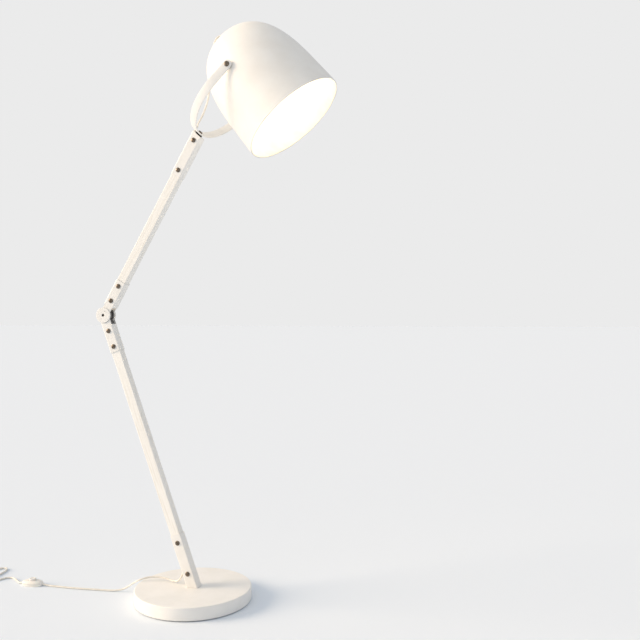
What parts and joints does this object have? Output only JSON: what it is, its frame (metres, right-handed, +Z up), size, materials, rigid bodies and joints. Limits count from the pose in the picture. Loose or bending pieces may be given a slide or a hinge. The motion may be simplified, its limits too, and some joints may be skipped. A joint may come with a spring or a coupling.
{
  "type": "adjustable arm floor lamp",
  "caption": "Floor lamp with a round weighted base, two jointed wooden arms on a friction elbow, a swivelling U-shaped yoke and a tilting domed metal shade.",
  "frame": {"origin": "centre of the base pad's underside, on the floor", "axes": "+Z up, +X towards the front, where the shade hangs, +Y to the lamp's left"},
  "size_m": [1.0291, 0.28, 1.3743],
  "materials": {
    "painted_steel": "satin powder coat, off-white",
    "shade_paint": "satin off-white paint on spun aluminium",
    "painted_wood": "off-white lacquer over fine grain",
    "bronze_screw": "dark bronze",
    "dark_steel": "dark grey satin",
    "bare_steel": "zinc plated",
    "dark_fibre": "matt",
    "dark_rubber": "matt",
    "white_rubber": "matt",
    "white_plastic": "fine moulded",
    "white_cord": "satin PVC",
    "opal_glass": "opal"
  },
  "bodies": {
    "base": {"base_pad": "dark_rubber", "base_weight": "painted_steel", "cable_elbow": "white_cord", "cable_lower": "white_cord", "cord_coil": "white_cord", "cord_strain_relief": "white_rubber", "cord_to_coil": "white_cord", "cord_to_plug": "white_cord", "cord_to_switch": "white_cord", "elbow_knuckle": "dark_steel", "foot_bolt": "bare_steel", "foot_screw_1": "bronze_screw", "foot_screw_2": "bronze_screw", "foot_sleeve": "painted_steel", "friction_washer_left": "dark_fibre", "friction_washer_right": "dark_fibre", "lower_arm_bar": "painted_wood", "lower_elbow_screw_1": "bronze_screw", "lower_elbow_screw_2": "bronze_screw", "lower_elbow_sleeve": "painted_steel", "plug_body": "white_plastic", "plug_pin_a": "bare_steel", "plug_pin_b": "bare_steel", "switch_base": "white_plastic", "switch_contact": "dark_fibre", "switch_cover": "white_plastic"},
    "upper_arm": {"cable_upper": "white_cord", "elbow_bolt": "painted_steel", "elbow_nut": "painted_steel", "swivel_cable": "white_cord", "top_screw_1": "bronze_screw", "top_screw_2": "bronze_screw", "top_sleeve": "painted_steel", "upper_arm_bar": "painted_wood", "upper_elbow_screw_1": "bronze_screw", "upper_elbow_screw_2": "bronze_screw", "upper_elbow_sleeve": "painted_steel", "yoke_bolt": "bronze_screw"},
    "yoke": {"head_cable": "white_cord", "yoke_strap": "painted_steel", "yoke_washer": "dark_fibre"},
    "shade": {"bulb_cap": "bare_steel", "bulb_glass": "opal_glass", "crown_gland": "dark_steel", "gland_nut": "bare_steel", "lamp_holder": "white_plastic", "shade_shell": "shade_paint", "tilt_nut_left": "bare_steel", "tilt_nut_right": "bare_steel", "tilt_screw_left": "bronze_screw", "tilt_screw_right": "bronze_screw", "tilt_spacer_left": "dark_steel", "tilt_spacer_right": "dark_steel"},
    "foot_button": {"switch_button": "white_plastic"}
  },
  "joints": [
    {"name": "elbow", "type": "hinge", "parent": "base", "child": "upper_arm", "pos_m": [-0.23414, 0, 0.68799], "axis": [0, 1, 0], "range_deg": [-40, 45], "deforming": ["cable_elbow"]},
    {"name": "yoke_swivel", "type": "hinge", "parent": "upper_arm", "child": "yoke", "pos_m": [0.01713, 0, 1.12673], "axis": [0.7021, 0, 0.712], "range_deg": [-45, 45], "deforming": ["swivel_cable"]},
    {"name": "shade_tilt", "type": "hinge", "parent": "yoke", "child": "shade", "pos_m": [0.13347, 0, 1.24471], "axis": [0, 1, 0], "range_deg": [-60, 35], "deforming": ["head_cable"]},
    {"name": "foot_button_press", "type": "slide", "parent": "base", "child": "foot_button", "axis": [0, 0, -1], "range_m": [0, 0.0025], "stiffness_N_per_m": 400, "springref_m": -0.0005}
  ]
}
